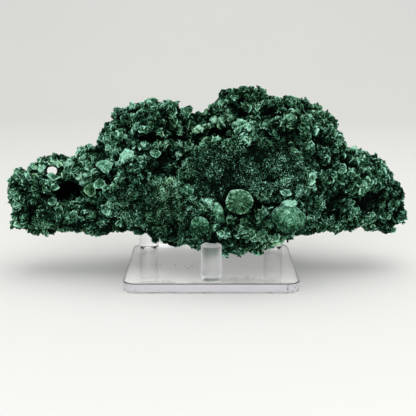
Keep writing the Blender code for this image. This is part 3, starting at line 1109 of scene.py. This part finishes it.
# The larger forms that the photograph shows: kind, picture coordinate, width and height in its
# pixels, turn in degrees, change of tone, and hue
FORMS = (
    ("lump", (18.6, 173), (9, 9), 0, 0.05, 0),
    ("lump", (11.5, 180), (8, 9), 0, 0.0, 0),
    ("lump", (28.8, 174), (12, 9), 20, 0.05, 0),
    ("lump", (12, 190), (9, 6), 30, 0.05, 0),
    ("lump", (41.4, 168), (8, 8), 0, 0.15, 0),
    ("lump", (18, 206), (10, 10), 0, -0.10, 0),
    ("lump", (17.5, 215), (8, 8), 0, -0.10, 0),
    ("lump", (23.2, 224), (12, 11), 0, -0.15, 0),
    ("lump", (48.4, 223.5), (14, 13), 0, 0.05, 0),
    ("cup", (54, 179), (14, 9), -25, 0.15, 0),
    ("cup", (51.9, 202.4), (9, 10), 0, 0.10, 0),
    ("lump", (60.3, 164), (9, 8), 0, 0.20, 0),
    ("lump", (67.7, 164.6), (8, 8), 0, 0.35, 0),
    ("lump", (83.5, 176), (17, 7), 5, 0.12, 0),
    ("lobe", (84.2, 185.2), (7, 7), 0, 0.26, 0),
    ("cup", (91.5, 192), (11, 16), 15, -0.04, 0.25),
    ("cup", (101, 185.5), (13, 9), 15, 0.10, 0),
    ("lump", (91.9, 170.2), (9, 9), 0, 0.05, 0),
    ("slab", (104, 168.5), (18, 17), -35, 0.12, -0.2),
    ("lump", (80.7, 154.5), (17, 14), 0, 0.05, 0),
    ("lump", (91.2, 148), (9, 9), 0, 0.05, 0),
    ("lump", (77, 204.5), (17, 15), 0, 0.0, 0),
    ("lump", (73.7, 213), (9, 8), 0, 0.05, 0),
    ("lump", (93.3, 215.8), (12, 12), 0, -0.02, 0),
    ("lump", (100.3, 225), (13, 12), 0, -0.10, 0),
    ("lump", (76, 219), (13, 11), 0, -0.08, 0),
    ("lump", (127.7, 155.3), (17, 13), 35, 0.25, -0.2),
    ("lump", (118.5, 163), (8, 8), 20, 0.22, 0),
    ("lump", (134.3, 145), (9, 10), 0, 0.10, 0),
    ("lump", (144, 145.5), (11, 9), 0, 0.12, 0),
    ("lump", (141, 161.5), (14, 14), 0, 0.0, 0),
    ("cup", (155.2, 154.8), (11, 9), 25, 0.10, 0),
    ("lump", (119.5, 178.8), (12, 11), 0, 0.15, 0),
    ("lump", (138.9, 127.5), (12, 11), 0, 0.05, 0),
    ("lump", (136, 117), (12, 10), -20, 0.0, 0),
    ("lump", (197, 130.8), (14, 8), 0, 0.28, 0),
    ("lump", (134.8, 106.5), (8, 8), 0, 0.20, 0),
    ("lump", (150, 105.5), (10, 7), 0, 0.10, 0),
    ("lump", (164.4, 105), (11, 8), 0, 0.15, 0),
    ("lump", (122.6, 137), (8, 7), 0, 0.10, 0),
    ("lump", (225, 103), (13, 6), 5, 0.15, 0),
    ("cup", (258.9, 112.5), (14, 8), -5, 0.05, 0),
    ("cup", (256.5, 123), (13, 6), 0, 0.10, 0),
    ("lump", (242, 131), (17, 10), 8, 0.12, 0),
    ("lump", (243, 142), (18, 14), 0, 0.06, 0),
    ("lump", (293, 104.5), (13, 11), 0, 0.05, 0),
    ("lobe", (186.8, 191), (12, 10), 0, 0.10, -0.2),
    ("button", (199.5, 226.3), (19, 20), 0, -0.05, 0),
    ("lump", (212, 204), (14, 9), -30, 0.22, 0),
    ("button", (239.4, 201.7), (27, 25), -10, 0.06, 0.15),
    ("button", (218.7, 212.5), (10, 20), 15, 0.08, 0),
    ("lump", (222.6, 233), (13, 10), -20, 0.08, 0),
    ("lump", (263.5, 191.4), (17, 15), 0, -0.12, 0),
    ("cup", (287, 194), (11, 8), -15, 0.10, 0),
    ("lobe", (288, 218), (32, 30), 0, -0.05, 0),
    ("slab", (290, 205), (18, 10), 12, 0.28, 0),
    ("lump", (273.8, 207.6), (12, 9), 20, 0.15, 0),
    ("lump", (231.3, 219.5), (14, 9), 0, 0.05, -0.2),
    ("lump", (244, 228), (11, 8), -30, 0.0, 0),
)


def place_forms(tree):
    """Middle, axes and half sizes of each form. The face looks between the camera, straight up and
    along the stone's normal, and the width lies level, turned by the angle."""
    found = []
    for kind, pixel, extent, turn, _, _ in FORMS:
        place, normal = seen_at(tree, pixel)
        towards = unit(np.array(CAMERA_PLACE) - place)
        _, ahead = seen_as(place[None])
        to_camera, to_top, to_normal = FACING[kind]
        z = unit(to_camera * towards + to_top * np.array(UP) + to_normal * normal)
        x = unit(np.cross(np.array(UP), z))
        y = np.cross(z, x)
        angle = math.radians(turn)
        x, y = math.cos(angle) * x + math.sin(angle) * y, math.cos(angle) * y - math.sin(angle) * x
        half = np.array(extent) / 2 * ahead[0] / FOCAL_PIXELS
        lift = min(LIFT_SHARE * half.mean(), MOST_LIFT) + LEAST_LIFT
        lift = 0 if kind == "lump" else lift
        found.append((place + z * lift, np.stack((x, y, z)), half))
    return found


def clear_of_forms(places):
    """0 within the forms and in front of them, 1 away from them."""
    share = np.ones(len(places))
    for (kind, *_), form in zip(FORMS, stone().forms):
        if kind != "lump":
            ahead, flat = from_form(places, form)
            near = ahead < 2.2 * form[2].mean()
            low, high = (0.65, 0.95) if kind == "button" else (0.4, 0.9)
            share = np.where(near, np.minimum(share, smooth_step(low, high, flat)), share)
    return share


def gap_by_forms(forms, places):
    """Up to 1 in the gap close round a form, more for a large one, falling to 0 away from it: the
    crust is lowered there and painted shade darkens its tone. A lump has its gap outside its oval
    alone."""
    gap = np.zeros(len(places))
    for (kind, *_), form in zip(FORMS, forms):
        width = form[2].mean()
        ahead, flat = from_form(places, form, 0.5 * MM)
        near = 1 - smooth_step(1.0, 1.9, ahead / width)
        near = near * (0.4 + 0.6 * smooth_step(1.8 * MM, 3.5 * MM, width))
        if kind == "lump":
            near = near * smooth_step(0.75, 0.95, flat)
        gap = np.maximum(gap, near * (1 - smooth_step(0.8, 1.35, flat)))
    return gap


def facets(turn, seed):
    """Outline of a plate with straight edges: at each angle, the nearest of six lines that stand at
    uneven distances and directions round the middle."""
    dice = np.random.default_rng(seed)
    ways = math.tau * (np.arange(6) + dice.uniform(-0.35, 0.35, 6)) / 6
    reach = dice.uniform(0.7, 1.0, 6)
    return (reach / np.clip(np.cos(turn[:, None] - ways), 0.3, 1)).min(1)


def form_mesh(kind, axes, middle, half, seed):
    """One form: its profile, blended between the given places, spun round as a ring of points.
    The outline wavers by a few slow waves or has straight edges, the face is ribbed by fine radial
    waves that shift with the radius, and noise folds, roughens and twists it."""
    width = half.mean()
    waver, strength, folds, twisting, rim = FINISH[kind]
    folds = CALM_FOLDS if width > CALM_WIDTH else folds
    sides, rings = next(counts for least, *counts in FINENESS if width > least)
    profile = np.array(PROFILES[kind])
    steps = np.linspace(0, len(profile) - 1, rings + 2)
    radius, height, pale = (
        np.interp(steps, np.arange(len(profile)), profile[:, i]) for i in range(3)
    )
    turn = math.tau * np.arange(sides) / sides
    around = np.stack((np.cos(turn), np.sin(turn), 0 * turn), -1)
    outline = 1 + waver * (soft_noise(around, 0.8, seed) + 0.5 * soft_noise(around, 0.25, seed))
    if kind == "slab":
        outline = outline * facets(turn, seed)
    r, z = radius[1:-1, None] * outline, np.repeat(height[1:-1, None], sides, 1)
    often = sides / 50
    fans = np.stack(np.broadcast_arrays(often * around[:, 0], often * around[:, 1], 1.2 * r), -1)
    fans = fans + 0.25 * soft_noise(fans, 0.9, seed + 1)[..., None]
    ribs = ridges(fans, 0.42, seed + 2) - 0.4
    z = z + strength * 0.04 * ribs * np.clip(r, 0, 1)
    body = np.stack((r * np.cos(turn), r * np.sin(turn), z), -1)
    local, triangles = capped((0, 0, height[0]), body, (0, 0, height[-1]))
    points = middle + (local * (*half, width)) @ axes
    rough = folds * 0.8 * MM * (ridges(points, 1.5 * MM, seed) - 0.4)
    rough += 0.25 * MM * folds * soft_noise(points, 0.7 * MM, seed)
    rough += 0.6 * MM * folds * soft_noise(points, 2.6 * MM, seed)
    points = points + unit(points - (middle - axes[2] * width * 0.6)) * rough[:, None]
    twist = np.stack([soft_noise(points, 2.2 * MM, seed + n) for n in (5, 6, 7)], 1)
    points = points + twisting * twist
    upward = vertex_normals(points, triangles)[:, 2]
    # Tone: a paler rim, partly painted highlight, and a deeper root, the ribs, painted highlight on
    # the folds and painted shade between them, painted light on faces that look up and shade on
    # those that look down, and noise
    tone = rim * per_point(pale[0], np.repeat(pale[1:-1], sides), pale[-1])
    tone += per_point(0, strength * 0.42 * ribs, 0) + 0.36 * rough / MM + 0.28 * upward
    tone += 0.14 * soft_noise(points, 1.5 * MM, seed + 3)
    tone += 0.10 * soft_noise(points, 0.6 * MM, seed)
    return kept_in(points), tone, triangles


class SPECIMEN_OT_forms(bpy.types.Operator):
    """Grow the larger buttons, cups, lobes and slabs where the photograph shows them"""

    bl_idname = "specimen.forms"
    bl_label = "Grown Forms"

    def execute(self, context):
        grown_green = malachite("malachite_grown", 0.7, 1.4, True)
        for kind in PROFILES:
            points, tones, hues, triangles, start = [], [], [], [], 0
            for number, (form, (middle, axes, half)) in enumerate(zip(FORMS, stone().forms)):
                if form[0] != kind:
                    continue
                change, hue = form[4:]
                own, tone, faces = form_mesh(kind, axes, middle, half, FORM_SEED + number)
                points.append(own)
                tones.append(stone().region_tone(middle[None])[0] + change + FORM_TONE + tone)
                hues.append(np.full(len(own), float(hue)))
                triangles.append(faces + start)
                start += len(own)
            values = {"tone": np.concatenate(tones), "hue": np.concatenate(hues)}
            surface = (np.concatenate(points), np.concatenate(triangles))
            made = piece(kind + "s", *surface, grown_green, values)
        return {"FINISHED"}


class SPECIMEN_OT_petals(bpy.types.Operator):
    """Stand curled crystal petals all over the crust, with pale rims that are partly frosted and
    partly painted highlight
    """

    bl_idname = "specimen.petals"
    bl_label = "Petals"

    def execute(self, context):
        grow(
            "petals", PETAL, outside_velvet, spacing=2.25 * MM, seed=62,
            size=context.scene.specimen_stone.petal_size, spread=0.35, flat=(1.3, 0.85, 0.9),
            lean=(0.2, 0.85), tones=(-0.21, 0.45, 0.36), sink=0.2, rough=0.13,
        )
        return {"FINISHED"}


class SPECIMEN_OT_flakes(bpy.types.Operator):
    """Crowd the crust with small curled flakes"""

    bl_idname = "specimen.flakes"
    bl_label = "Flakes"

    def execute(self, context):
        grow(
            "flakes", FLAKE, outside_velvet, spacing=1.9 * MM, seed=64,
            size=0.75 * MM, spread=0.35, flat=(1.25, 0.7, 0.9),
            lean=(0.2, 1.2), tones=(-0.17, 0.42, 0.40), sink=0.2, rough=0.10,
        )
        return {"FINISHED"}


class SPECIMEN_OT_curls(bpy.types.Operator):
    """Lay curled ridges all over the crust, with pale crests that are partly the crystals' own
    paleness and partly painted highlight
    """

    bl_idname = "specimen.curls"
    bl_label = "Curls"

    def execute(self, context):
        for name, shape, seed, spacing, size, across in (
            ("curls_long", CURL, 66, 2.3 * MM, 1.25 * MM, 0.95),
            ("curls_short", SHORT_CURL, 67, 1.68 * MM, 0.80 * MM, 1.0),
        ):
            grow(
                name, shape, outside_velvet, spacing=spacing, seed=seed,
                size=size, spread=0.3, flat=(1.1, across, across),
                lean=(0.0, 0.6), tones=(-0.21, 0.46, 0.26), sink=0.10, rough=0.09,
            )
        return {"FINISHED"}


class SPECIMEN_OT_velvet(bpy.types.Operator):
    """Grow the even pile of fine fibres on the front"""

    bl_idname = "specimen.velvet"
    bl_label = "Velvet"

    def execute(self, context):
        grow(
            "velvet", FIBRE, on_velvet, spacing=0.47 * MM, seed=65,
            size=0.5 * MM, spread=0.35, flat=(0.6, 0.35, 1.4),
            lean=(0.0, 0.9), tones=(-0.06, 0.18, 0.58), sink=0.0, rough=0.08,
        )
        return {"FINISHED"}


class SPECIMEN_OT_crumbs(bpy.types.Operator):
    """Leave a few crumbs of the stone lying on the plate"""

    bl_idname = "specimen.crumbs"
    bl_label = "Crumbs"

    def execute(self, context):
        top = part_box("base_plate")[1].z
        dice = np.random.default_rng(70)
        places = []
        for pixel, reach, count in CRUMBS:
            for _ in range(count):
                way = sight(np.array(pixel) + dice.normal(0, 0.5, 2) * reach)
                places.append(Vector(CAMERA_PLACE) + way * ((top - CAMERA_PLACE[2]) / way.z))
        places = np.array(places)
        upright = np.broadcast_to(UP, places.shape).astype(float)
        sizes = spread_sizes(len(places), dice, CRUMB_SIZE, 0.35, (1.0, 0.8, 0.8))
        places = places + upright * 0.3 * sizes.max()
        axes = frames(upright, dice, (0, 0.4))
        points, triangles = grown(FLAKE, places, axes, sizes, dice, 0.10)
        tone = dice.normal(0.45, 0.08, points.shape[:2])
        hue = dice.normal(0, 0.2, points.shape[:2])
        small_shapes("crumbs", points, triangles, tone, hue)
        return {"FINISHED"}


def rounded_slab(width, depth, height, corner, edge, lift):
    """A slab as rings round its middle, from its top to its underside: each is a rectangle with
    round corners, set in from the outline by the profile's inset and standing at the profile's
    height, with a flat bevel above and below. Its marks are 1 on the bevels (cut), on the upright
    sides (side) and at the middles of their corners (wavy), and 0 elsewhere."""
    arc = np.radians(90) * np.arange(13) / 12
    inset = edge * np.array((4, 1.15, 1, 0, 0, 0, 0, 0.6, 0.75, 4))
    z = height - edge * np.array((0, 0, 0, 1, 1.15, 0, 0, 0, 0, 0))
    z[5:] = edge * np.array((0.75, 0.6, 0, 0, 0))
    most = corner * 0.9
    reach = (corner - np.minimum(inset, most))[:, None]
    extra = np.maximum(inset - most, 0)[:, None]
    rings = []
    for quarter, (side_x, side_y) in enumerate(((1, 1), (-1, 1), (-1, -1), (1, -1))):
        turn = np.radians(90 * quarter) + arc
        x = side_x * (width / 2 - corner - extra) + reach * np.cos(turn)
        y = side_y * (depth / 2 - corner - extra) + reach * np.sin(turn)
        rings.append(np.stack((x, y, np.repeat(z[:, None] + lift, len(arc), 1)), -1))
    surface = capped((0, 0, height + lift), np.concatenate(rings, 1), (0, 0, lift))
    bevel = np.array((0, 0, 1, 1, 0, 0, 1, 1, 0, 0))[:, None]
    wall = np.array((0, 0, 0, 1, 1, 1, 1, 0, 0, 0))[:, None]
    bent = np.tile(np.sin(2 * arc), 4)
    marks = {"cut": bevel + 0 * bent, "side": wall + 0 * bent, "wavy": wall * bent}
    return *surface, {key: per_point(0, part, 0) for key, part in marks.items()}


def rod(middle, radius, low, high, edge, sides=72):
    """An upright rod: a profile of radius and height, rounded at the top rim and chamfered at the
    foot, spun round. Its mark for cut plastic is 1, and falls to about a third at the foot."""
    chamfer = 0.15 * MM
    bend = np.radians(90) * np.arange(6) / 5
    rim = radius - edge * (1 - np.sin(bend))
    reach = np.concatenate(((radius - 2 * edge,), rim, np.full(11, radius), (radius - chamfer,)))
    rim = high - edge * (1 - np.cos(bend))
    side = np.linspace(high, low, 12)[1:-1]
    z = np.concatenate(((high,), rim, side, (low + chamfer, low)))
    turn = math.tau * np.arange(sides) / sides
    x = middle[0] + reach[:, None] * np.cos(turn)
    y = middle[1] + reach[:, None] * np.sin(turn)
    rings = np.stack((x, y, np.repeat(z[:, None], sides, 1)), -1)
    ends = (*middle[:2], high), (*middle[:2], low)
    points, triangles = capped(ends[0], rings, ends[1])
    cut = 0.35 + 0.65 * smooth_step(low + 1.0 * MM, low + 2.0 * MM, points[:, 2])
    return points, triangles, {"cut": cut, "side": 0 * cut, "wavy": 0 * cut}


# How far the rims are rounded, and how dull the back pegs are beside the front one
PLATE_EDGE = 0.28 * MM
PEG_EDGE = 0.4 * MM
BACK_PEG_CUT = 0.4


class SPECIMEN_OT_stand(bpy.types.Operator):
    """Make the clear base plate and its three pegs, with rounded rims"""

    bl_idname = "specimen.stand"
    bl_label = "Stand"

    def execute(self, context):
        clear = acrylic()
        low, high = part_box("base_plate")
        size = high - low
        corner = context.scene.specimen_stand.corner
        made = {"base_plate": rounded_slab(*size, corner, PLATE_EDGE, low.z)}
        for name in PEGS:
            low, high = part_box(name)
            made[name] = rod((low + high) / 2, (high.x - low.x) / 2, low.z, high.z, PEG_EDGE)
        for name, (points, triangles, marks) in made.items():
            marks["cut"] = marks["cut"] * (BACK_PEG_CUT if "back" in name else 1.0)
            part = piece("clear_" + name, points, triangles, clear, marks)
            # Clear plastic would leave what is under it in the dark
            part.visible_shadow = False
            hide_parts(name)
        return {"FINISHED"}


def soft_light(name, place, size, colour, power):
    """A rectangle of light that faces the object."""
    light = bpy.data.lights.new(name, "AREA")
    light.shape = "RECTANGLE"
    light.size, light.size_y = size
    light.energy = power
    light.color = colour
    lamp = bpy.data.objects.new(name, light)
    bpy.context.scene.collection.objects.link(lamp)
    lamp.location = place
    way = Vector(LIT_POINT) - Vector(place)
    lamp.rotation_euler = way.to_track_quat("-Z", "Y").to_euler()


class SPECIMEN_OT_stage(bpy.types.Operator):
    """Set the camera, the pale floor that sweeps up to a wall, and the soft light"""

    bl_idname = "specimen.stage"
    bl_label = "Stage"

    def execute(self, context):
        scene = context.scene
        settings = scene.specimen_stage
        camera = bpy.data.cameras.new("camera")
        camera.sensor_width = SENSOR_MM
        camera.lens = FOCAL_PIXELS / VIEW_PIXELS * SENSOR_MM
        camera.clip_start = 0.01
        view = bpy.data.objects.new("camera", camera)
        scene.collection.objects.link(view)
        view.location = CAMERA_PLACE
        view.rotation_euler = (math.radians(90) - CAMERA_PITCH, 0, 0)
        scene.camera = view
        scene.view_settings.view_transform = "Standard"

        self.add_sweep(settings.floor)
        world = bpy.data.worlds.new("room")
        world.use_nodes = True
        sky = world.node_tree.nodes["Background"]
        sky.inputs["Color"].default_value = SKY_COLOUR
        sky.inputs["Strength"].default_value = settings.sky
        scene.world = world
        for name, (place, size, colour, share) in LIGHTS.items():
            soft_light(name, place, size, colour, share * settings.key_power)
        return {"FINISHED"}

    @staticmethod
    def add_sweep(colour):
        """Floor and wall in one: a profile, flat, then a quarter circle, then upright, carried
        along X."""
        bend = np.radians(90) * np.arange(25) / 24
        radius, front, wall, top, half = 0.5, -1.2, 0.45, 2.0, 2.5
        y = np.concatenate(((front,), wall + radius * np.sin(bend), (wall + radius,)))
        z = np.concatenate(((0,), radius * (1 - np.cos(bend)), (top,))) - FLOOR_GAP
        x = np.array((half, -half))
        rows = np.stack(np.broadcast_arrays(x, y[:, None], z[:, None]), -1)
        start = 2 * np.arange(len(y) - 1)
        quads = np.stack((start, start + 2, start + 3, start + 1), -1)
        mesh = bpy.data.meshes.new("sweep")
        mesh.from_pydata(rows.reshape(-1, 3).tolist(), [], quads.tolist())
        mesh.shade_smooth()
        tree = Tree("pale_paper")
        grain = tree.noise(6.0, 2.0)
        shades = [(0.3, tuple(0.985 * c for c in colour)), (0.7, tuple(colour))]
        tree.finish("Base Color", tree.ramp(grain, shades))
        tree.constants(Roughness=0.9, Specular_IOR_Level=0.2)
        mesh.materials.append(tree.material)
        sweep = bpy.data.objects.new("sweep", mesh)
        bpy.context.scene.collection.objects.link(sweep)


STEPS = (
    SPECIMEN_OT_stage,
    SPECIMEN_OT_crust,
    SPECIMEN_OT_forms,
    SPECIMEN_OT_petals,
    SPECIMEN_OT_flakes,
    SPECIMEN_OT_curls,
    SPECIMEN_OT_velvet,
    SPECIMEN_OT_stand,
    SPECIMEN_OT_crumbs,
)


class SPECIMEN_PT_steps(bpy.types.Panel):
    """Lists the steps that dress the specimen"""

    bl_idname = "SPECIMEN_PT_steps"
    bl_label = "Malachite Specimen"
    bl_space_type = "VIEW_3D"
    bl_region_type = "UI"
    bl_category = "Specimen"

    def draw(self, context):
        for settings in ("specimen_stone", "specimen_stand", "specimen_stage"):
            group = getattr(context.scene, settings)
            column = self.layout.column(align=True)
            for name in group.__annotations__:
                column.prop(group, name)
        for step in STEPS:
            self.layout.operator(step.bl_idname)


GROUPS = {
    "specimen_stone": StoneSettings,
    "specimen_stand": StandSettings,
    "specimen_stage": StageSettings,
}
CLASSES = (*GROUPS.values(), *STEPS, SPECIMEN_PT_steps)


def register():
    for item in CLASSES:
        bpy.utils.register_class(item)
    for name, group in GROUPS.items():
        setattr(bpy.types.Scene, name, PointerProperty(type=group))


def unregister():
    for name in GROUPS:
        delattr(bpy.types.Scene, name)
    for item in reversed(CLASSES):
        bpy.utils.unregister_class(item)


def main():
    register()
    for step in STEPS:
        family, name = step.bl_idname.split(".")
        getattr(getattr(bpy.ops, family), name)()


if __name__ == "__main__":
    main()
